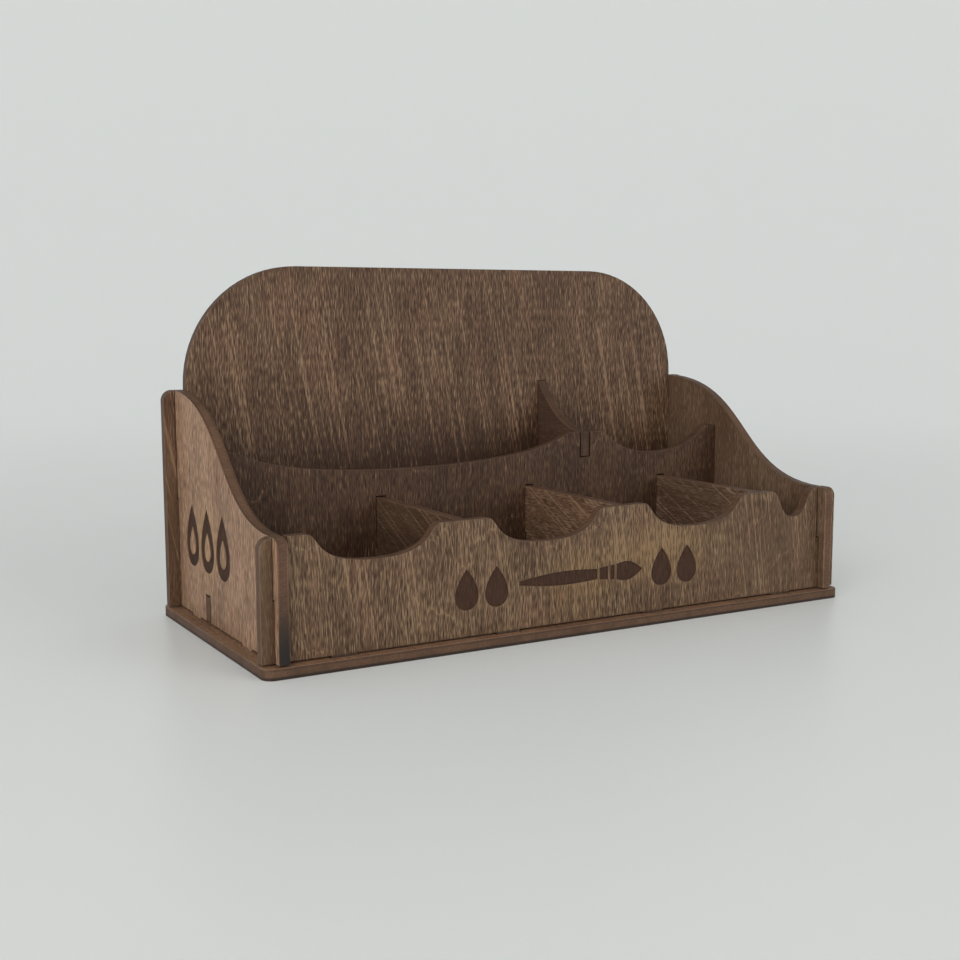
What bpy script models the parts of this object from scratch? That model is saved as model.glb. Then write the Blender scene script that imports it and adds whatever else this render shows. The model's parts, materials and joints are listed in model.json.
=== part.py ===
"""Paint rack organizer: ten interlocking plywood sheets with slots, tabs and mortises.

The rack stands on Z = 0 with its origin under the middle of the base plate. Its open front
faces -Y. Each sheet is a flat outline, drawn in its own plane, with the sheet's thickness.
"""

from math import asin, cos, pi, sin, tan

import bmesh
import bpy
from mathutils import Matrix, Vector
from mathutils.geometry import interpolate_bezier

# Driving dimensions, in metres
SHEET = 0.004  # plywood thickness
GAP = 0.0003  # clearance between pieces that touch
LIFT = 0.0006  # walls stand this far above the base plate, on their tabs
LENGTH = 0.257  # front and back panels over their end tabs
END_TAB = 0.00475  # those panels run past the side panels by this
NOSE = 0.0036  # the side panels run past the front and back panels by this
FRONT_ROW = 0.0634  # front compartments, front to back
REAR_ROW = 0.0311  # rear compartments, front to back
WIDE_BAY = 0.066  # width of each wide front compartment
REAR_SPLIT = 0.0468  # the rear divider's middle, right of centre
OVERHANG = 0.0005  # base plate beyond the walls
FRONT_TOP = 0.0473  # heights above the ground
MIDDLE_TOP = 0.0689
SIDE_TOP = 0.0905
BACK_TOP = 0.1393
BACK_CORNER = 0.0475  # radius of the back panel's top corners
BASE_CORNER = 0.004
TAB_CORNER = 0.0042  # outer top corners of the end tabs
BASE_TAB = 0.010  # length of a tab that stands in the base plate
END_SLOT_TOP = 0.0150  # top of the slot for the middle panel's low end tab
LOOSE = 0.0009  # extra room in the slots that show a dark gap
HOOK_ROOM = 0.0006  # extra room each side of the rear divider's hook
HOOK_BOTTOM = 0.0580  # bottom of the middle panel's slot for the rear divider
DIVIDER_TAB = 0.020  # height of the tabs that pass through a mortise
MORTISE_ROOM = 0.0006  # room above the tabs in the middle panel
BACK_MORTISE_ROOM = 0.0002  # room above the tab in the back panel
REAR_DIVIDER_TOP = 0.0897  # the rear divider's height at the back panel
DIVIDER_ARC = 0.044  # radius of its hollow top edge
CURVE_FOOT = -0.0500  # where along Y the S-shaped top of a side panel runs level again
CURVE_PULLS = (-0.0585, 0.0530)  # how far that curve is drawn level from its top and foot
ENGRAVING = 0.0005  # depth of the burnt pockets

# Dips in the top edges. The pulls say how far the curve is drawn level at the rim and bottom.
WIDE_SCOOP = {"half_width": 0.0258, "depth": 0.0106, "rim_pull": 0.0058, "bottom_pull": 0.0245}
NARROW_SCOOP = {"half_width": 0.0122, "depth": 0.0112, "rim_pull": 0.0058, "bottom_pull": 0.0086}
REAR_WIDE_SCOOP = {"half_width": 0.0765, "depth": 0.0106, "rim_pull": 0.005, "bottom_pull": 0.0673}
REAR_NARROW_SCOOP = {"half_width": 0.029, "depth": 0.0106, "rim_pull": 0.0025, "bottom_pull": 0.0218}
SCOOP_SHIFT = 0.0005  # a scoop's middle is this far right of its bay's middle

# Engraved ornament: sizes are height and width
FRONT_MOTIF = (-0.0015, 0.0218)  # middle of the brush, across and up
FRONT_DROPS = [-0.049, -0.0365, 0.0385, 0.051]  # drops, across from that middle
FRONT_DROP_SIZE = (0.0150, 0.0098)
SIDE_DROPS = [-0.0027, 0.0148, 0.0323]  # drops, along Y
SIDE_DROP_HEIGHT = 0.0356
SIDE_DROP_SIZE = (0.0240, 0.0150)
DROP_CORE_SIZE = (0.0110, 0.0066)  # the uncut middle of a side drop
DROP_CORE_SAG = 0.0022  # below the drop's own middle

# Worked out from the driving dimensions
BASE_TOP = SHEET
WALL_FOOT = BASE_TOP + LIFT
SLOT_HALF = SHEET / 2 + GAP
SIDE_X = LENGTH / 2 - END_TAB - SHEET / 2  # middle of a side panel's thickness
INSIDE_X = SIDE_X - SHEET / 2
OUTSIDE_X = SIDE_X + SHEET / 2
WALL_DEPTH = 2 * NOSE + 3 * SHEET + FRONT_ROW + REAR_ROW
FRONT_Y = -WALL_DEPTH / 2 + NOSE + SHEET / 2
MIDDLE_Y = FRONT_Y + SHEET + FRONT_ROW
BACK_Y = MIDDLE_Y + SHEET + REAR_ROW
FRONT_LAP = (WALL_FOOT + FRONT_TOP) / 2  # half way up, where the slots of a crossing meet
BACK_LAP = (WALL_FOOT + SIDE_TOP) / 2
BAY_PITCH = WIDE_BAY + SHEET
DIVIDER_X = [-INSIDE_X + WIDE_BAY + SHEET / 2 + BAY_PITCH * bay for bay in range(3)]

# How a sheet's outline plane stands in the rack
LYING = (0, 0, 0)
ACROSS = (pi / 2, 0, 0)  # outline in X and Z
FORE_AFT = (pi / 2, 0, pi / 2)  # outline in Y and Z

# Where each wall's base tabs stand, as the middle of the tab along the wall
ACROSS_TABS = [-0.0985, -0.033, 0.033, 0.0985]
SIDE_TABS = [-0.026, 0.030]
FRONT_DIVIDER_TAB = (FRONT_Y + MIDDLE_Y) / 2
REAR_DIVIDER_TAB = (MIDDLE_Y + BACK_Y) / 2

STAINED_BIRCH = (0.118, 0.068, 0.042)


def clear_scene():
    for thing in list(bpy.data.objects):
        bpy.data.objects.remove(thing, do_unlink=True)


def collection(name):
    made = bpy.data.collections.new(name)
    bpy.context.scene.collection.children.link(made)
    return made


def plywood(name, tint):
    """Stained birch plywood, a little lighter or darker by tint."""
    material = bpy.data.materials.new(name)
    material.use_nodes = True
    shader = material.node_tree.nodes["Principled BSDF"]
    shader.inputs["Base Color"].default_value = (*[c * tint for c in STAINED_BIRCH], 1)
    shader.inputs["Roughness"].default_value = 0.6
    shader.inputs["Metallic"].default_value = 0.0
    return material


# Outlines: lists of (u, v) points, with a third value where a corner is rounded


def rounded(outline, steps=7):
    """The outline with an arc in place of each corner that has a radius."""
    drawn = []
    for index, point in enumerate(outline):
        corner = Vector(point[:2])
        radius = point[2] if len(point) > 2 else 0
        if not radius:
            drawn.append(tuple(corner))
            continue
        to_last = (Vector(outline[index - 1][:2]) - corner).normalized()
        to_next = (Vector(outline[(index + 1) % len(outline)][:2]) - corner).normalized()
        half_angle = to_last.angle(to_next) / 2
        start = corner + to_last * radius / tan(half_angle)
        centre = corner + (to_last + to_next).normalized() * radius / sin(half_angle)
        turn = (pi - 2 * half_angle) * (1 if to_last.cross(to_next) < 0 else -1)
        for step in range(steps + 1):
            spoke = start - centre
            spoke.rotate(Matrix.Rotation(turn * step / steps, 2))
            drawn.append(tuple(centre + spoke))
    return drawn


def flow(start, start_pull, end_pull, end, steps=14):
    """An S-shaped edge that leaves start and reaches end level, with the two pulls."""
    handles = (start[0] + start_pull, start[1]), (end[0] + end_pull, end[1])
    knots = [Vector((*knot, 0)) for knot in (start, *handles, end)]
    return [tuple(point[:2]) for point in interpolate_bezier(*knots, steps)]


def scoop(middle, crest, shape):
    """A dip in a level top edge, from right to left: full at the bottom, soft at the rims."""
    bottom = (middle, crest - shape["depth"])
    rim = (middle + shape["half_width"], crest)
    right = flow(rim, -shape["rim_pull"], shape["bottom_pull"], bottom)
    left = [(2 * middle - u, v) for u, v in reversed(right)]
    return right + left[1:]


def slot_in_top(middle, bottom, top, left=SLOT_HALF, right=SLOT_HALF):
    """A slot open at the top edge, from right to left."""
    return [
        (middle + right, top),
        (middle + right, bottom),
        (middle - left, bottom),
        (middle - left, top),
    ]


def slot_in_foot(middle, top, left=SLOT_HALF, right=SLOT_HALF):
    """A slot open at a wall's foot, from left to right."""
    return [
        (middle - left, WALL_FOOT),
        (middle - left, top),
        (middle + right, top),
        (middle + right, WALL_FOOT),
    ]


def foot_tab(middle, length=BASE_TAB):
    """A tab that reaches down through the base plate, from left to right."""
    half = length / 2
    return [
        (middle - half, WALL_FOOT),
        (middle - half, 0),
        (middle + half, 0),
        (middle + half, WALL_FOOT),
    ]


def rectangle(middle, size):
    u, v = middle
    half_u, half_v = size[0] / 2, size[1] / 2
    return [
        (u - half_u, v - half_v),
        (u + half_u, v - half_v),
        (u + half_u, v + half_v),
        (u - half_u, v + half_v),
    ]


def tab_mortise(middle, tab_top, room):
    """A mortise for a divider's upper tab, with some room above it."""
    top = tab_top + room
    bottom = tab_top - DIVIDER_TAB - GAP
    return rectangle((middle, (top + bottom) / 2), (2 * SLOT_HALF, top - bottom))


def hollow(start, end, radius, steps=16):
    """A hollow arc between two points, sagging to the right-hand side of the way."""
    chord = Vector(end) - Vector(start)
    half_turn = asin(chord.length / (2 * radius))
    towards_centre = Vector((chord.y, -chord.x)).normalized()
    centre = (Vector(start) + Vector(end)) / 2 + towards_centre * radius * cos(half_turn)
    points = []
    for step in range(steps + 1):
        spoke = Vector(start) - centre
        spoke.rotate(Matrix.Rotation(-2 * half_turn * step / steps, 2))
        points.append(tuple(centre + spoke))
    return points


# Engraved ornament: paint drops and a brush


def drop(middle, size, points=32):
    """A paint drop with its tip up."""
    height, width = size
    widest = 0.77  # the largest value of the belly's formula
    outline = []
    for step in range(points):
        angle = 2 * pi * step / points
        belly = sin(angle) * sin(angle / 2)
        outline.append((middle[0] + belly * width / (2 * widest), middle[1] + cos(angle) * height / 2))
    return outline


def spindle(start, end, half_widths, swell, steps=12):
    """A shape along u whose half width runs between two values and swells between them."""
    upper = []
    for step in range(steps + 1):
        share = step / steps
        half = half_widths[0] + (half_widths[1] - half_widths[0]) * share + swell * sin(pi * share)
        upper.append((start + (end - start) * share, half))
    lower = [(u, -half) for u, half in reversed(upper)]
    return upper + lower


def moved(outline, place):
    return [(u + place[0], v + place[1]) for u, v in outline]


def front_motif():
    """A brush with two paint drops on each side."""
    handle = spindle(-0.027, 0.008, (0.0007, 0.0019), 0.0012)
    ferrule = spindle(0.0090, 0.0130, (0.0022, 0.0026), 0, steps=1)
    collar = spindle(0.0140, 0.0160, (0.0027, 0.0029), 0, steps=1)
    bristles = spindle(0.0170, 0.0290, (0.0030, 0.0001), 0.0019)
    motif = [moved(shape, FRONT_MOTIF) for shape in (handle, ferrule, collar, bristles)]
    for across in FRONT_DROPS:
        motif.append(drop((FRONT_MOTIF[0] + across, FRONT_MOTIF[1]), FRONT_DROP_SIZE))
    return motif


def side_motif():
    """Three paint drops drawn as thick outlines."""
    motif = []
    for along in SIDE_DROPS:
        motif.append(drop((along, SIDE_DROP_HEIGHT), SIDE_DROP_SIZE))
        motif.append(drop((along, SIDE_DROP_HEIGHT - DROP_CORE_SAG), DROP_CORE_SIZE))
    return motif


# Sheets


def one_face_each_side(shape):
    """Makes each flat side a single face, since a wall's foot has many points in one line."""
    flat_sides = [face for face in shape.faces if len(face.verts) == 3]
    bmesh.ops.delete(shape, geom=flat_sides, context="FACES")
    bmesh.ops.holes_fill(shape, edges=shape.edges)


def extruded(name, loops, thickness, location, rotation, group):
    """A closed mesh object from flat loops: an inner loop is a hole in the outer one."""
    drawing = bpy.data.curves.new(name, "CURVE")
    drawing.dimensions = "2D"
    drawing.fill_mode = "BOTH"
    drawing.extrude = thickness / 2
    for loop in loops:
        spline = drawing.splines.new("POLY")
        spline.points.add(len(loop) - 1)
        for point, (u, v) in zip(spline.points, loop):
            point.co = (u, v, 0, 1)
        spline.use_cyclic_u = True
    curve = bpy.data.objects.new(name + "_drawing", drawing)
    curve.location = location
    curve.rotation_euler = rotation
    group.objects.link(curve)
    graph = bpy.context.evaluated_depsgraph_get()
    graph.update()
    mesh = bpy.data.meshes.new_from_object(curve.evaluated_get(graph))
    mesh.name = name
    shape = bmesh.new()
    shape.from_mesh(mesh)
    bmesh.ops.remove_doubles(shape, verts=shape.verts, dist=0.00001)
    if len(loops) == 1:
        one_face_each_side(shape)
    bmesh.ops.recalc_face_normals(shape, faces=shape.faces)
    shape.to_mesh(mesh)
    shape.free()
    body = bpy.data.objects.new(name, mesh)
    body.matrix_world = curve.matrix_world
    group.objects.link(body)
    bpy.data.objects.remove(curve, do_unlink=True)
    return body


def sheet(name, loops, location, rotation, group, tint=1.0):
    body = extruded(name, loops, SHEET, location, rotation, group)
    body.data.materials.clear()
    body.data.materials.append(plywood(name + "_plywood", tint))
    return body


def engrave(body, motif, location, rotation, cutters):
    """Cuts shallow pockets of the motif's shapes into a face of the sheet."""
    cutter = extruded(body.name + "_engraving", motif, 2 * ENGRAVING, location, rotation, cutters)
    cutter.hide_render = True
    cutter.display_type = "WIRE"
    cut = body.modifiers.new("engraving", "BOOLEAN")
    cut.operation = "DIFFERENCE"
    cut.solver = "EXACT"
    cut.object = cutter


def base_plate(group):
    half_x = LENGTH / 2 + OVERHANG
    half_y = WALL_DEPTH / 2 + OVERHANG
    edge = [(u, v, BASE_CORNER) for u, v in rectangle((0, 0), (2 * half_x, 2 * half_y))]
    along = (BASE_TAB + 2 * GAP, SHEET + 2 * GAP)
    mortises = [rectangle((x, y), along) for y in (FRONT_Y, MIDDLE_Y, BACK_Y) for x in ACROSS_TABS]
    mortises += [rectangle((x, y), along[::-1]) for x in (-SIDE_X, SIDE_X) for y in SIDE_TABS]
    mortises += [rectangle((x, FRONT_DIVIDER_TAB), along[::-1]) for x in DIVIDER_X]
    mortises += [rectangle((REAR_SPLIT, REAR_DIVIDER_TAB), along[::-1])]
    return sheet("base_plate", [rounded(edge), *mortises], (0, 0, SHEET / 2), LYING, group)


def across_foot(end):
    """The lower edge of a wall that runs across the rack, from left to right."""
    edge = [(-end, WALL_FOOT)]
    for middle in ACROSS_TABS:
        edge += foot_tab(middle)
    return edge + [(end, WALL_FOOT)]


def front_panel(group, cutters):
    end = LENGTH / 2
    edge = across_foot(end)
    edge += [(end, FRONT_TOP, TAB_CORNER)]
    edge += slot_in_top(SIDE_X, FRONT_LAP, FRONT_TOP, left=SLOT_HALF + LOOSE)
    narrow_bay = (DIVIDER_X[2] + SHEET / 2 + INSIDE_X) / 2
    edge += scoop(narrow_bay + SCOOP_SHIFT, FRONT_TOP, NARROW_SCOOP)
    for x in reversed(DIVIDER_X):
        edge += scoop(x - BAY_PITCH / 2 + SCOOP_SHIFT, FRONT_TOP, WIDE_SCOOP)
    edge += slot_in_top(-SIDE_X, FRONT_LAP, FRONT_TOP, right=SLOT_HALF + LOOSE)
    edge += [(-end, FRONT_TOP, TAB_CORNER)]
    body = sheet("front_panel", [rounded(edge)], (0, FRONT_Y, 0), ACROSS, group, 1.05)
    face_y = FRONT_Y - SHEET / 2
    engrave(body, front_motif(), (0, face_y, 0), ACROSS, cutters)


def middle_panel(group):
    end = INSIDE_X - GAP
    tab_end = OUTSIDE_X
    tab_top = END_SLOT_TOP - MORTISE_ROOM
    edge = across_foot(tab_end)
    edge += [(tab_end, tab_top), (end, tab_top), (end, MIDDLE_TOP)]
    right_bay = (REAR_SPLIT + SHEET / 2 + INSIDE_X) / 2
    left_bay = (REAR_SPLIT - SHEET / 2 - INSIDE_X) / 2
    edge += scoop(right_bay + SCOOP_SHIFT, MIDDLE_TOP, REAR_NARROW_SCOOP)
    hook_half = SLOT_HALF + HOOK_ROOM
    edge += slot_in_top(REAR_SPLIT, HOOK_BOTTOM, MIDDLE_TOP, hook_half, hook_half)
    edge += scoop(left_bay, MIDDLE_TOP, REAR_WIDE_SCOOP)
    edge += [(-end, MIDDLE_TOP), (-end, tab_top), (-tab_end, tab_top)]
    mortises = [tab_mortise(x, FRONT_TOP, MORTISE_ROOM) for x in DIVIDER_X]
    sheet("middle_panel", [rounded(edge), *mortises], (0, MIDDLE_Y, 0), ACROSS, group, 0.95)


def back_panel(group):
    end = LENGTH / 2
    shoulder = INSIDE_X - GAP
    edge = across_foot(end)
    edge += [(end, SIDE_TOP, TAB_CORNER)]
    edge += slot_in_top(SIDE_X, BACK_LAP, SIDE_TOP)[:3]
    edge += [(shoulder, BACK_TOP, BACK_CORNER), (-shoulder, BACK_TOP, BACK_CORNER)]
    edge += slot_in_top(-SIDE_X, BACK_LAP, SIDE_TOP)[1:]
    edge += [(-end, SIDE_TOP, TAB_CORNER)]
    mortise = tab_mortise(REAR_SPLIT, REAR_DIVIDER_TOP, BACK_MORTISE_ROOM)
    sheet("back_panel", [rounded(edge, 18), mortise], (0, BACK_Y, 0), ACROSS, group, 0.95)


def side_panel(name, x, group, tint):
    half = WALL_DEPTH / 2
    edge = [(-half, WALL_FOOT)]
    edge += slot_in_foot(FRONT_Y, FRONT_LAP + GAP)
    edge += foot_tab(SIDE_TABS[0])
    edge += slot_in_foot(MIDDLE_Y, END_SLOT_TOP, left=SLOT_HALF + LOOSE)
    edge += foot_tab(SIDE_TABS[1])
    edge += slot_in_foot(BACK_Y, BACK_LAP + GAP)
    corner = NOSE - GAP
    edge += [(half, WALL_FOOT), (half, SIDE_TOP, corner)]
    edge += flow((half - corner, SIDE_TOP), *CURVE_PULLS, (CURVE_FOOT, FRONT_TOP), 28)[1:]
    edge += [(-half, FRONT_TOP, corner)]
    return sheet(name, [rounded(edge)], (x, 0, 0), FORE_AFT, group, tint)


def side_panels(group, cutters):
    left = side_panel("left_side_panel", -SIDE_X, group, 1.25)
    engrave(left, side_motif(), (-OUTSIDE_X, 0, 0), FORE_AFT, cutters)
    side_panel("right_side_panel", SIDE_X, group, 0.9)


def front_dividers(group):
    front_end = FRONT_Y + SHEET / 2 + GAP
    rear_end = MIDDLE_Y - SHEET / 2 - GAP
    tab_end = MIDDLE_Y + SHEET / 2
    tab_bottom = FRONT_TOP - DIVIDER_TAB
    edge = [(front_end, WALL_FOOT), *foot_tab(FRONT_DIVIDER_TAB), (rear_end, WALL_FOOT)]
    edge += [(rear_end, tab_bottom), (tab_end, tab_bottom)]
    edge += [(tab_end, FRONT_TOP), (front_end, FRONT_TOP)]
    for place, x in zip(("left", "middle", "right"), DIVIDER_X):
        sheet("front_divider_" + place, [edge], (x, 0, 0), FORE_AFT, group, 0.85)


def rear_divider(group):
    hook_end = MIDDLE_Y - SHEET / 2
    hook_bottom = HOOK_BOTTOM + GAP
    front_end = MIDDLE_Y + SHEET / 2 + GAP
    rear_end = BACK_Y - SHEET / 2 - GAP
    tab_end = BACK_Y + SHEET / 2
    tab_bottom = REAR_DIVIDER_TOP - DIVIDER_TAB
    edge = [(front_end, WALL_FOOT), *foot_tab(REAR_DIVIDER_TAB), (rear_end, WALL_FOOT)]
    edge += [(rear_end, tab_bottom), (tab_end, tab_bottom), (tab_end, REAR_DIVIDER_TOP)]
    edge += hollow((rear_end, REAR_DIVIDER_TOP), (front_end, MIDDLE_TOP), DIVIDER_ARC)
    edge += [(hook_end, MIDDLE_TOP), (hook_end, hook_bottom), (front_end, hook_bottom)]
    sheet("rear_divider", [edge], (REAR_SPLIT, 0, 0), FORE_AFT, group, 0.8)


def main():
    clear_scene()
    rack = collection("paint_rack_organizer")
    cutters = collection("engraving_cutters")
    base_plate(rack)
    front_panel(rack, cutters)
    middle_panel(rack)
    back_panel(rack)
    side_panels(rack, cutters)
    front_dividers(rack)
    rear_divider(rack)


main()
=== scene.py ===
"""Looks of the paint rack organizer: stained birch plywood sheets with laser-cut edges.

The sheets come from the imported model. This script gives each one its bevels and its wood, and
adds a pale floor, soft light and the camera. Lengths are in metres, in the model's frame, but
patterns in the wood are worked out in millimetres.
"""

import json
from math import cos, pi, radians, sin

import bmesh
import bpy
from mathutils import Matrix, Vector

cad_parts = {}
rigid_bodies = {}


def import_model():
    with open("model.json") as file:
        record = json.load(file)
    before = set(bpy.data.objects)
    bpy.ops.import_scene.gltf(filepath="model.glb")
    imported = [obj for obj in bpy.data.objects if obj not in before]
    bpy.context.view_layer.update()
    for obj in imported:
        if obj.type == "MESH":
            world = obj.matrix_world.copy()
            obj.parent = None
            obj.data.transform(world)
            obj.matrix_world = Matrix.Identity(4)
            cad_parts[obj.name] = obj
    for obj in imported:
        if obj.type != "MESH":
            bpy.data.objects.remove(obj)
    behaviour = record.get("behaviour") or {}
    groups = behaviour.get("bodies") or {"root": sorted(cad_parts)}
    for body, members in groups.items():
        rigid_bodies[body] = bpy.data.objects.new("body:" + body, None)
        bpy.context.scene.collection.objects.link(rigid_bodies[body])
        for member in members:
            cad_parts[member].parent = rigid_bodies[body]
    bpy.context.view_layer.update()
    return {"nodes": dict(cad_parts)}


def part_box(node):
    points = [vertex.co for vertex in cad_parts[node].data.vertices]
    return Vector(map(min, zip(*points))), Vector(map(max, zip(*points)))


MM = 1000.0  # millimetres in a metre
SHEET = 4.0  # plywood thickness, mm
FACE_PLY = 0.72  # thickness of an outer ply, mm
POCKET_MASK = (0.15, 0.3)  # depths under a face over which the pocket's look comes in, mm
BEVEL = 0.00022  # width of the small bevel on every outward corner
BEVEL_STEPS = 2
SAME_PLACE = 0.000005  # points closer than this are joined
FLAT_ANGLE = radians(0.5)  # faces that meet at less than this are made one face
CORNER_ANGLE = radians(50)  # two faces that meet at more than this make a corner
STAIN = (0.73, 0.70, 0.665)  # share of red, green and blue that the stain lets through

# Camera, measured from the middle of the rack's base
CAMERA_PLACE = (-0.27599, -0.45389, 0.12054)
CAMERA_TURN = -29.97  # degrees about Z
CAMERA_TILT = -7.31  # degrees, downwards
CAMERA_ROLL = 0.10  # degrees
CAMERA_LENS = 49.01  # mm
CAMERA_SENSOR = 36  # mm wide

FLOOR_RADIUS = 2.2  # from the rack to the wall
FLOOR_BEND = 1.2  # radius of the bend from the floor up into the wall
FLOOR_WALL = 1.6  # height of the wall's top
FLOOR_BEND_STEPS = 16
FLOOR_SIDES = 96
FLOOR_GLOW = 0.04  # light given off by the floor nearer than GLOW_NEAR
WALL_GLOW = 0.13  # light given off by the floor and wall farther than GLOW_FAR
GLOW_NEAR = 0.2
GLOW_FAR = 1.15

# Axes of a sheet as numbers of X, Y and Z: across the face grain, along it, through the sheet
LYING = (0, 1, 2)
WALL_ACROSS = (0, 2, 1)
WALL_FORE_AFT = (1, 2, 0)
DIVIDER = (2, 1, 0)


def linear(red, green, blue):
    """A colour given as it looks on a screen, 0 to 255, as linear light."""
    return tuple(((c / 255 + 0.055) / 1.055) ** 2.4 for c in (red, green, blue)) + (1.0,)


# ---------------------------------------------------------------- node graphs


class Graph:
    """A material's nodes, made and joined one call at a time."""

    def __init__(self, name):
        self.material = bpy.data.materials.new(name)
        self.material.use_nodes = True
        self.tree = self.material.node_tree
        self.shader = self.tree.nodes["Principled BSDF"]

    def node(self, kind, **settings):
        made = self.tree.nodes.new("ShaderNode" + kind)
        for key, value in settings.items():
            setattr(made, key, value)
        return made

    def feed(self, socket, value):
        """Joins an output to the socket, or sets the socket to a plain value."""
        if isinstance(value, bpy.types.NodeSocket):
            self.tree.links.new(value, socket)
        else:
            socket.default_value = value

    def math(self, operation, *values, clamp=False):
        made = self.node("Math", operation=operation, use_clamp=clamp)
        for socket, value in zip(made.inputs, values):
            self.feed(socket, value)
        return made.outputs[0]

    def add(self, *values):
        total = values[0]
        for value in values[1:]:
            total = self.math("ADD", total, value)
        return total

    def times(self, *values):
        total = values[0]
        for value in values[1:]:
            total = self.math("MULTIPLY", total, value)
        return total

    def ease(self, value, low, high, to_low=0.0, to_high=1.0):
        """A smooth step from to_low to to_high while value runs from low to high."""
        made = self.node("MapRange", interpolation_type="SMOOTHSTEP")
        for name, number in (
            ("Value", value),
            ("From Min", low),
            ("From Max", high),
            ("To Min", to_low),
            ("To Max", to_high),
        ):
            self.feed(made.inputs[name], number)
        return made.outputs[0]

    def mix(self, share, first, second):
        made = self.node("Mix", data_type="RGBA")
        self.feed(made.inputs[0], share)
        self.feed(made.inputs[6], first)
        self.feed(made.inputs[7], second)
        return made.outputs[2]

    def multiply(self, colour, shares):
        """The colour with its red, green and blue cut to plain shares."""
        made = self.node("Mix", data_type="RGBA", blend_type="MULTIPLY")
        made.inputs[0].default_value = 1.0
        self.feed(made.inputs[6], colour)
        made.inputs[7].default_value = (*shares, 1.0)
        return made.outputs[2]

    def vector(self, x, y, z):
        made = self.node("CombineXYZ")
        for socket, value in zip(made.inputs, (x, y, z)):
            self.feed(socket, value)
        return made.outputs[0]

    def split(self, vector):
        made = self.node("SeparateXYZ")
        self.feed(made.inputs[0], vector)
        return list(made.outputs)

    def noise(self, vector, detail=2.0, roughness=0.5):
        made = self.node("TexNoise", noise_dimensions="3D")
        self.feed(made.inputs["Vector"], vector)
        made.inputs["Scale"].default_value = 1.0
        made.inputs["Detail"].default_value = detail
        made.inputs["Roughness"].default_value = roughness
        return made.outputs["Fac"]

    def ramp(self, value, stops):
        """A colour ramp through (position, colour) stops."""
        made = self.node("ValToRGB")
        self.feed(made.inputs[0], value)
        elements = made.color_ramp.elements
        while len(elements) < len(stops):
            elements.new(0.5)
        for element, (position, colour) in zip(elements, stops):
            element.position = position
            element.color = colour
        return made.outputs[0]


# ---------------------------------------------------------------- plywood


class Sheet:
    """Coordinates of one sheet in its own axes, and the masks of its faces and edges."""

    def __init__(self, graph, node, axes, seed):
        low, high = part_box(node)
        middle = (low + high) / 2 * MM
        place = graph.split(graph.node("TexCoord").outputs["Object"])
        normal = graph.split(graph.node("NewGeometry").outputs["Normal"])
        mm = [graph.math("MULTIPLY_ADD", place[axis], MM, -middle[axis]) for axis in range(3)]
        self.graph = graph
        self.across, self.along, self.through = (mm[axis] for axis in axes)
        self.height = graph.math("MULTIPLY", place[2], MM)
        self.facing = [graph.math("ABSOLUTE", normal[axis]) for axis in axes]
        self.seed = seed
        self.depth = graph.math("ABSOLUTE", self.through)
        self.flat = graph.ease(self.facing[2], 0.75, 0.93)
        top, bottom = (SHEET / 2 - sunk for sunk in POCKET_MASK)
        self.pocket = graph.times(self.flat, graph.ease(self.depth, top, bottom))

    def axes(self):
        return self.across, self.along, self.through

    def grain(self, width, length, detail=2.0, roughness=0.5, across=None, shift=0.0):
        """Noise with features about width wide across the grain and length long along it."""
        g = self.graph
        across = self.across if across is None else across
        return g.noise(
            g.vector(
                g.math("MULTIPLY_ADD", across, 1 / width, self.seed * 7.3 + shift),
                g.math("MULTIPLY_ADD", self.along, 1 / length, self.seed * 3.1),
                g.math("MULTIPLY_ADD", self.through, 0.05, shift),
            ),
            detail,
            roughness,
        )


def patch(sheet, place, size):
    """A soft oval, 1 in its middle and 0 outside; place and size are across and along, mm."""
    g = sheet.graph
    offset = g.vector(
        g.math("MULTIPLY_ADD", sheet.across, 1 / size[0], -place[0] / size[0]),
        g.math("MULTIPLY_ADD", sheet.along, 1 / size[1], -place[1] / size[1]),
        0.0,
    )
    length = g.node("VectorMath", operation="LENGTH")
    g.feed(length.inputs[0], offset)
    return g.ease(length.outputs["Value"], 1.0, 0.0)


def jagged_contours(sheet, wander, spacing):
    """Thin lines across the sheet with the ragged peaks of flame-figured birch."""
    g = sheet.graph
    peak_place = g.vector(g.times(wander, 0.55), g.times(sheet.along, 0.02), sheet.seed)
    hill_place = g.vector(g.times(wander, 0.035), g.times(sheet.along, 0.02), sheet.seed + 4.0)
    peaks = g.noise(peak_place, 3.0, 0.65)
    hills = g.noise(hill_place, 2.0)
    height = g.add(sheet.along, g.times(peaks, 13.0), g.times(hills, 90.0))
    place = g.math("PINGPONG", height, spacing)
    return g.ease(place, 0.9, 0.1)


def slanted_wisps(sheet, slant):
    """Long thin light streaks that lean away from the grain."""
    g = sheet.graph
    leaning = g.math("MULTIPLY_ADD", sheet.along, slant, sheet.across)
    wide = sheet.grain(1.0, 110, detail=0.0, across=leaning, shift=15.0)
    return g.ease(wide, 0.6, 0.72)


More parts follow.
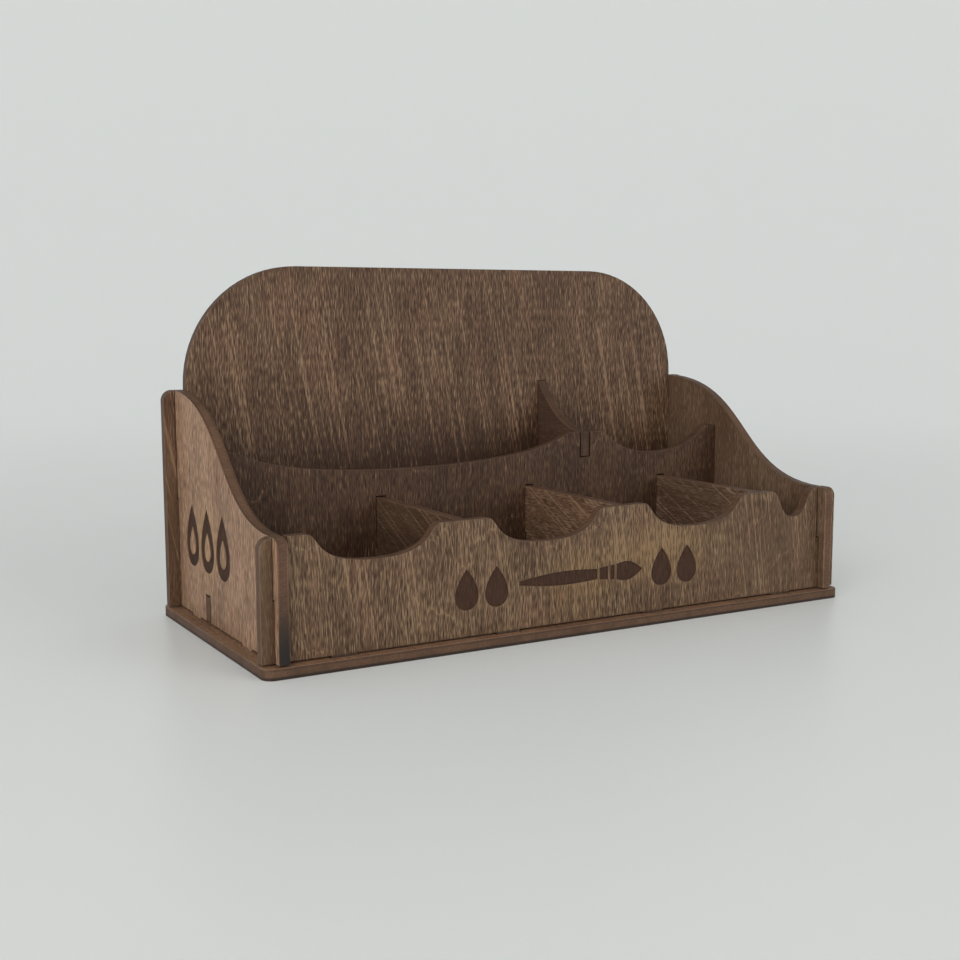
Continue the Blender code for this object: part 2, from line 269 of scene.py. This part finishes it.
def face_wood(sheet, look):
    """Colour and height of a stained veneer face."""
    g = sheet.graph
    sway = g.math("MULTIPLY_ADD", sheet.grain(30, 50, detail=1.0, shift=11.0), 3.6, -1.8)
    wander = g.add(sheet.across, sway)
    contrast = look.get("contrast", 1.0)

    fibre = sheet.grain(0.37, 3.0, detail=0.0, across=wander)
    vessel = sheet.grain(0.4, 18, detail=0.0, across=wander, shift=5.0)
    pore = g.ease(sheet.grain(0.42, 4.0, detail=0.0, across=wander, shift=41.0), 0.61, 0.68)
    glint = g.ease(sheet.grain(0.36, 5.0, detail=0.0, across=wander, shift=47.0), 0.59, 0.66)
    streak = sheet.grain(2.6, 65, detail=1.0, across=wander, shift=35.0)
    cloud = sheet.grain(16, 40, detail=1.5, roughness=0.55, shift=23.0)

    figure = g.add(
        g.math("MULTIPLY_ADD", fibre, 1.3 * contrast, -0.65 * contrast),
        g.math("MULTIPLY_ADD", vessel, 0.85 * contrast, -0.425 * contrast),
        g.times(pore, -0.15 * contrast),
        g.times(glint, 0.34 * contrast),
    )
    if "contours" in look:
        lines = jagged_contours(sheet, wander, look["contours"])
        figure = g.add(figure, g.times(lines, glint, 0.5), g.times(lines, 0.26))
    for place, size, strength in look.get("calm", []):
        figure = g.times(figure, g.math("MULTIPLY_ADD", patch(sheet, place, size), -strength, 1.0))
    tone = g.add(
        0.5 + look.get("lift", 0.0),
        figure,
        g.math("MULTIPLY_ADD", streak, 0.18, -0.09),
        g.math("MULTIPLY_ADD", cloud, 0.5, -0.25),
    )
    if "slant" in look:
        tone = g.add(tone, g.times(slanted_wisps(sheet, look["slant"]), 0.34))
    # Lighter and darker ovals; the back panel's large dark one is painted shade
    for place, size, strength in look.get("tone_and_shade_patches", []):
        tone = g.add(tone, g.times(patch(sheet, place, size), strength))

    colour = g.ramp(
        tone,
        [
            (0.0, linear(62, 42, 28)),
            (0.3, linear(90, 66, 47)),
            (0.6, linear(112, 88, 66)),
            (1.0, linear(160, 134, 106)),
        ],
    )
    warm = g.ease(sheet.grain(10, 26, detail=1.0, shift=53.0), 0.4, 0.7)
    redder = g.ramp(tone, [(0.0, linear(72, 45, 31)), (1.0, linear(158, 118, 95))])
    colour = g.mix(g.times(warm, 0.22), colour, redder)
    golden = g.ramp(tone, [(0.0, linear(72, 52, 28)), (1.0, linear(168, 138, 92))])
    for place, size, strength in look.get("golden", []):
        colour = g.mix(g.times(patch(sheet, place, size), strength), colour, golden)
    height = g.add(g.times(fibre, 0.5), g.times(vessel, 0.4), g.times(pore, -0.5))
    return colour, height


def edge_wood(sheet, look):
    """Colour and height of a laser-cut edge: darker where a ply is cut across its grain."""
    g = sheet.graph
    share = g.math("MULTIPLY", sheet.facing[1], sheet.facing[1])
    rest = g.math("MULTIPLY_ADD", sheet.facing[0], sheet.facing[0], 0.001)
    end_on = g.math("DIVIDE", share, g.add(share, rest), clamp=True)
    wobble = sheet.grain(6, 6, detail=2.0, shift=61.0)
    border = SHEET / 2 - FACE_PLY
    depth = g.math("MULTIPLY_ADD", wobble, 0.3, g.math("SUBTRACT", sheet.depth, 0.15))
    outer = g.ease(depth, border - 0.07, border + 0.07)
    glue = g.times(g.ease(depth, border - 0.22, border), g.ease(depth, border + 0.22, border))
    # An outer ply is cut across its grain where end_on is 1, and the core where it is 0
    across_in_core = g.times(g.math("SUBTRACT", 1.0, outer), g.math("SUBTRACT", 1.0, end_on))
    cut_across = g.add(g.times(outer, end_on), across_in_core)

    marks = g.vector(
        g.times(sheet.across, 2.6), g.times(sheet.along, 2.6), g.times(sheet.through, 0.5)
    )
    ticks = g.noise(marks, 2.0, 0.6)
    specks = g.noise(g.vector(*(g.times(axis, 2.1) for axis in sheet.axes())), 2.0, 0.7)
    char = sheet.grain(9, 9, detail=3.0, roughness=0.6, shift=71.0)
    speckled = g.add(g.times(ticks, 0.5), g.times(specks, 0.5))
    light = g.ramp(speckled, [(0.32, linear(100, 70, 51)), (0.68, linear(148, 113, 86))])
    dark = g.ramp(ticks, [(0.3, linear(80, 57, 42)), (0.7, linear(120, 88, 67))])
    colour = g.mix(g.ease(cut_across, 0.1, 0.9), light, dark)
    colour = g.mix(g.times(glue, 0.4), colour, linear(54, 36, 26))
    burnt = g.add(g.times(g.ease(char, 0.4, 0.75), 0.5), look.get("char", 0.25))
    colour = g.mix(g.math("MINIMUM", burnt, 1.0), colour, linear(84, 60, 44))
    # A darker band along the bottom of the edges: partly burnt, partly painted contact shade from
    # the floor
    if "under" in look:
        below = g.ease(sheet.through, look["under"] + 0.12, look["under"] - 0.12)
        colour = g.mix(g.times(below, 0.8), colour, linear(38, 30, 27))
    dimming = g.times(g.math("MULTIPLY_ADD", end_on, -0.35, 1.0), look.get("edge", 1.0))
    colour = g.mix(dimming, (0.0, 0.0, 0.0, 1.0), colour)
    # Near-black ovals on the edges: painted shade
    for place, size, strength in look.get("shade_spots", []):
        colour = g.mix(g.times(patch(sheet, place, size), strength), colour, linear(27, 24, 24))
    height = g.add(g.times(ticks, 0.7), g.times(glue, -0.4))
    return colour, height


def pocket_wood(sheet):
    """Colour and height of an engraved pocket's burnt floor, with the laser's fine passes."""
    g = sheet.graph
    burn = sheet.grain(0.8, 5, detail=3.0, roughness=0.65, shift=83.0)
    passes = g.math("SINE", g.times(sheet.along, 2 * pi / 0.24))
    colour = g.ramp(burn, [(0.3, linear(48, 29, 19)), (0.72, linear(84, 56, 38))])
    return colour, g.add(g.times(passes, 0.25), g.times(burn, 0.5))


def plywood(node, axes, seed, look):
    """The whole material of one sheet."""
    g = Graph(node + "_plywood")
    sheet = Sheet(g, node, axes, seed)
    face_colour, face_height = face_wood(sheet, look)
    edge_colour, edge_height = edge_wood(sheet, look)
    pocket_colour, pocket_height = pocket_wood(sheet)

    tint = look.get("tint", (1.0, 1.0, 1.0))
    colour = g.mix(sheet.flat, edge_colour, g.multiply(face_colour, tint))
    colour = g.mix(sheet.pocket, colour, pocket_colour)
    # Painted shade along the foot, where the sheet stands on the base
    if "painted_foot_shade" in look:
        foot_shade = g.ease(sheet.height, look["painted_foot_shade"] + 0.9, look["painted_foot_shade"] + 0.2)
        colour = g.mix(g.times(foot_shade, 0.7), colour, linear(54, 38, 30))
    colour = g.multiply(colour, STAIN)
    # Lighter bevels: partly wear, partly a painted highlight along the arrises
    wear_and_highlight = g.times(g.ease(sheet.facing[2], 0.2, 0.6), g.ease(sheet.facing[2], 0.97, 0.8))
    colour = g.mix(g.times(wear_and_highlight, look.get("wear_and_highlight", 0.25)), colour, linear(140, 110, 90))
    g.feed(g.shader.inputs["Base Color"], colour)

    height = g.add(
        g.times(sheet.flat, face_height),
        g.times(g.math("SUBTRACT", 1.0, sheet.flat), edge_height),
        g.times(sheet.pocket, pocket_height),
    )
    bump = g.node("Bump")
    bump.inputs["Strength"].default_value = 0.6
    bump.inputs["Distance"].default_value = 0.00012
    g.feed(bump.inputs["Height"], height)
    g.feed(g.shader.inputs["Normal"], bump.outputs[0])

    sheen = sheet.grain(3, 12, detail=2.0, shift=97.0)
    roughness = g.add(g.math("MULTIPLY_ADD", sheen, 0.3, 0.42), g.times(sheet.pocket, 0.2))
    g.feed(g.shader.inputs["Roughness"], roughness)
    g.shader.inputs["Specular IOR Level"].default_value = 0.3
    return g.material


# Each sheet's grain axes, seed and look. In a look:
#   lift, contrast  lighter or darker face (on the inner sheets partly painted shade), and the
#   strength of its grain
#   tint            factors of the faces' red, green and blue (the left side's are partly painted light)
#   edge, char      brightness of the cut edges, and how burnt they are
#   wear_and_highlight  how much lighter the bevels are: partly wear, partly painted highlight
#   contours        spacing of the flame figure's lines, mm
#   slant           lean of the light wisps
#   painted_foot_shade  height of the foot above the floor, mm; painted shade darkens about a
#   millimetre above it
#   under           place through the sheet below which its edges are dark (burn and painted shade), mm
#   tone_and_shade_patches, calm, golden, shade_spots
#                   ovals that are lighter or darker (some painted shade), plainer, more golden, or
#                   dark with painted shade: (place, size, strength), with place and size in mm
#                       from
#                   the middle of the sheet, across the grain and along it
SHEETS = {
    "base_plate": (
        LYING,
        1.0,
        {
            "lift": 0.32,
            "contrast": 0.45,
            "tint": (1.04, 0.9, 0.9),
            "char": 0.35,
            "edge": 1.2,
            # The bottom of the edges is darker: partly burnt, partly painted contact shade
            "under": -0.85,
            # Lighter bevels: partly wear, partly painted highlight
            "wear_and_highlight": 0.5,
        },
    ),
    "front_panel": (
        WALL_ACROSS,
        2.0,
        {
            "tint": (0.85, 0.83, 0.81),
            "char": 0.3,
            "edge": 1.2,
            # Painted shade along the foot, where it stands on the base
            "painted_foot_shade": 4.3,
            "contours": 17.0,
            "slant": 0.15,
            "tone_and_shade_patches": [
                ((30, 6), (50, 18), 0.2),
                ((-40, -8), (60, 26), 0.06),
                ((0, -25), (150, 7), -0.16),
                ((35, -12), (44, 9), -0.08),
                ((-127, 0), (6, 40), -0.05),
            ],
            "golden": [((34, 2), (48, 22), 0.4), ((-4, -4), (24, 20), 0.4)],
            "calm": [((-127, 0), (12, 60), 0.75), ((100, 0), (60, 60), 0.45)],
        },
    ),
    "middle_panel": (
        WALL_ACROSS,
        3.0,
        {
            # Darker face: partly the wood, partly painted shade of the bays
            "lift": -0.27,
            "contrast": 0.8,
            "tint": (0.85, 0.8, 0.8),
            "char": 0.4,
            "edge": 0.95,
            "contours": 21.0,
        },
    ),
    "back_panel": (
        WALL_ACROSS,
        4.0,
        {
            "lift": -0.1,
            "tint": (0.95, 0.9, 0.9),
            "char": 0.6,
            "slant": 0.2,
            # The large dark oval low in the middle is painted shade of the rear bay
            "tone_and_shade_patches": [((-127, -24), (9, 60), 0.28), ((0, -42), (170, 66), -0.95)],
            "calm": [((-127, -24), (12, 90), 0.75)],
        },
    ),
    "left_side_panel": (
        WALL_FORE_AFT,
        5.0,
        {
            "lift": 0.2,
            "contrast": 0.75,
            "char": 0.2,
            "edge": 1.2,
            # Much lighter faces: partly lighter wood, partly painted light on the side that faces
            # the lamp
            "tint": (1.54, 1.5, 1.64),
            "tone_and_shade_patches": [((-4, -34), (60, 24), -0.08)],
            "golden": [((16, -10), (26, 22), 0.45)],
            # The near-black oval low on the front edge is painted shade
            "shade_spots": [((-57, -38), (6, 26), 0.95)],
        },
    ),
    "right_side_panel": (
        WALL_FORE_AFT,
        6.0,
        {"lift": 0.06, "contrast": 0.45, "tint": (0.98, 1.0, 1.1), "char": 0.0},
    ),
    "front_divider_left": (
        DIVIDER,
        7.0,
        # Darker face: partly the wood, partly painted shade of the bays
        {"lift": -0.17, "tint": (0.95, 0.98, 1.08), "contrast": 0.42, "slant": -0.5},
    ),
    "front_divider_middle": (
        DIVIDER,
        8.0,
        {"lift": 0.08, "tint": (1.05, 1.0, 1.06), "contrast": 0.7, "slant": -0.5},
    ),
    "front_divider_right": (
        DIVIDER,
        9.0,
        {"lift": -0.06, "tint": (1.03, 1.04, 1.2), "contrast": 0.55, "slant": -0.5},
    ),
    "rear_divider": (
        DIVIDER,
        10.0,
        # Darker face: partly the wood, partly painted shade of the bays
        {"lift": -0.25, "contrast": 0.3, "tint": (0.95, 1.0, 1.2), "edge": 0.8},
    ),
}


def geometry_group(name):
    """A node group that takes in geometry and gives it back; both ends come back unjoined."""
    group = bpy.data.node_groups.new(name, "GeometryNodeTree")
    group.interface.new_socket("Geometry", in_out="INPUT", socket_type="NodeSocketGeometry")
    group.interface.new_socket("Geometry", in_out="OUTPUT", socket_type="NodeSocketGeometry")
    return group, group.nodes.new("NodeGroupInput"), group.nodes.new("NodeGroupOutput")


def angle_over_limit(group, kind):
    """True at the edges whose Signed or Unsigned angle is more than the limit."""
    angle = group.nodes.new("GeometryNodeInputMeshEdgeAngle")
    over = group.nodes.new("FunctionNodeCompare")
    over.operation = "GREATER_THAN"
    over.inputs["B"].default_value = CORNER_ANGLE
    group.links.new(angle.outputs[kind + " Angle"], over.inputs["A"])
    return over.outputs[0]


def outward_corners():
    """Geometry nodes that give full bevel weight to the corners that point outwards."""
    group, start, end = geometry_group("outward_corners")
    store = group.nodes.new("GeometryNodeStoreNamedAttribute")
    store.data_type = "FLOAT"
    store.domain = "EDGE"
    store.inputs["Name"].default_value = "bevel_weight_edge"
    group.links.new(start.outputs[0], store.inputs["Geometry"])
    group.links.new(angle_over_limit(group, "Signed"), store.inputs["Value"])
    group.links.new(store.outputs[0], end.inputs[0])
    return group


def smooth_by_angle():
    """Geometry nodes that shade smooth wherever two faces meet at a small angle."""
    group, start, end = geometry_group("smooth_by_angle")
    faces = group.nodes.new("GeometryNodeSetShadeSmooth")
    faces.domain = "FACE"
    edges = group.nodes.new("GeometryNodeSetShadeSmooth")
    edges.domain = "EDGE"
    edges.inputs["Shade Smooth"].default_value = False
    group.links.new(start.outputs[0], faces.inputs["Geometry"])
    group.links.new(faces.outputs[0], edges.inputs["Geometry"])
    group.links.new(angle_over_limit(group, "Unsigned"), edges.inputs["Selection"])
    group.links.new(edges.outputs[0], end.inputs[0])
    return group


def weld(sheet, name):
    """Joins points that lie in the same place."""
    sheet.modifiers.new(name, "WELD").merge_threshold = SAME_PLACE


def soften_edges(sheet, corners, smoothing):
    """Joins the split corners of a packed sheet and gives its edges a small bevel."""
    weld(sheet, "weld_corners")
    flatten = sheet.modifiers.new("flatten", "DECIMATE")
    flatten.decimate_type = "DISSOLVE"
    flatten.angle_limit = FLAT_ANGLE
    sheet.modifiers.new("corners", "NODES").node_group = corners
    bevel = sheet.modifiers.new("bevel", "BEVEL")
    bevel.width = BEVEL
    bevel.segments = BEVEL_STEPS
    bevel.limit_method = "WEIGHT"
    bevel.use_clamp_overlap = False
    weld(sheet, "weld_bevels")
    sheet.modifiers.new("smooth", "NODES").node_group = smoothing
    weigh = sheet.modifiers.new("weigh_normals", "WEIGHTED_NORMAL")
    weigh.keep_sharp = True


def dress_sheets(nodes):
    """Gives every sheet its plywood and its softened edges."""
    corners = outward_corners()
    smoothing = smooth_by_angle()
    for name, (axes, seed, look) in SHEETS.items():
        sheet = nodes[name]
        sheet.material_slots[0].link = "OBJECT"
        sheet.material_slots[0].material = plywood(name, axes, seed, look)
        soften_edges(sheet, corners, smoothing)


# ---------------------------------------------------------------- floor, light and camera


def floor():
    """A round pale floor that bends up into a wall all round."""
    flat_radius = FLOOR_RADIUS - FLOOR_BEND
    profile = [(0.0, 0.0), (flat_radius, 0.0)]
    for step in range(1, FLOOR_BEND_STEPS + 1):
        angle = pi / 2 * step / FLOOR_BEND_STEPS
        radius = flat_radius + FLOOR_BEND * sin(angle)
        profile.append((radius, FLOOR_BEND * (1 - cos(angle))))
    profile.append((FLOOR_RADIUS, FLOOR_WALL))
    shape = bmesh.new()
    points = [shape.verts.new((radius, 0, height)) for radius, height in profile]
    edges = [shape.edges.new(pair) for pair in zip(points, points[1:])]
    bmesh.ops.spin(
        shape,
        geom=points + edges,
        axis=(0, 0, 1),
        cent=(0, 0, 0),
        steps=FLOOR_SIDES,
        angle=2 * pi,
    )
    bmesh.ops.remove_doubles(shape, verts=shape.verts, dist=0.0001)
    bmesh.ops.recalc_face_normals(shape, faces=shape.faces)
    mesh = bpy.data.meshes.new("floor")
    shape.to_mesh(mesh)
    shape.free()
    mesh.shade_smooth()
    body = bpy.data.objects.new("floor", mesh)
    bpy.context.scene.collection.objects.link(body)
    body.visible_shadow = False
    graph = Graph("floor_paint")
    graph.shader.inputs["Base Color"].default_value = (0.74, 0.75, 0.735, 1)
    distance = graph.node("VectorMath", operation="LENGTH")
    graph.feed(distance.inputs[0], graph.node("TexCoord").outputs["Object"])
    graph.shader.inputs["Emission Color"].default_value = (0.98, 1.0, 1.0, 1)
    reach = distance.outputs["Value"]
    glow = graph.ease(reach, GLOW_NEAR, GLOW_FAR, FLOOR_GLOW, WALL_GLOW)
    graph.feed(graph.shader.inputs["Emission Strength"], glow)
    graph.shader.inputs["Roughness"].default_value = 0.38
    graph.shader.inputs["Specular IOR Level"].default_value = 0.35
    mesh.materials.append(graph.material)


def sky():
    """Even pale light from all round."""
    world = bpy.data.worlds.new("studio")
    world.use_nodes = True
    background = world.node_tree.nodes["Background"]
    background.inputs["Color"].default_value = (0.97, 1.0, 1.0, 1)
    background.inputs["Strength"].default_value = 0.45
    bpy.context.scene.world = world


def softbox(name, place, size, power, aim=(0, 0, 0.05)):
    """A round area lamp, turned to shine on the rack."""
    lamp = bpy.data.lights.new(name, "AREA")
    lamp.shape = "DISK"
    lamp.size = size
    lamp.energy = power
    body = bpy.data.objects.new(name, lamp)
    body.location = place
    bpy.context.scene.collection.objects.link(body)
    direction = body.location - type(body.location)(aim)
    body.rotation_euler = direction.to_track_quat("Z", "Y").to_euler()


def camera():
    """The camera that takes the main view."""
    data = bpy.data.cameras.new("camera")
    data.lens = CAMERA_LENS
    data.sensor_width = CAMERA_SENSOR
    data.clip_start = 0.01
    body = bpy.data.objects.new("camera", data)
    body.location = CAMERA_PLACE
    body.rotation_euler = (radians(90 + CAMERA_TILT), radians(CAMERA_ROLL), radians(CAMERA_TURN))
    bpy.context.scene.collection.objects.link(body)
    bpy.context.scene.camera = body


for thing in list(bpy.data.objects):
    bpy.data.objects.remove(thing, do_unlink=True)
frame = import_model()

bpy.context.scene.view_settings.view_transform = "Standard"
camera()
floor()
sky()
softbox("key", (-1.6, -1.3, 0.8), 1.6, 26)
softbox("fill", (0.9, -1.7, 0.7), 1.4, 9)
dress_sheets(frame["nodes"])
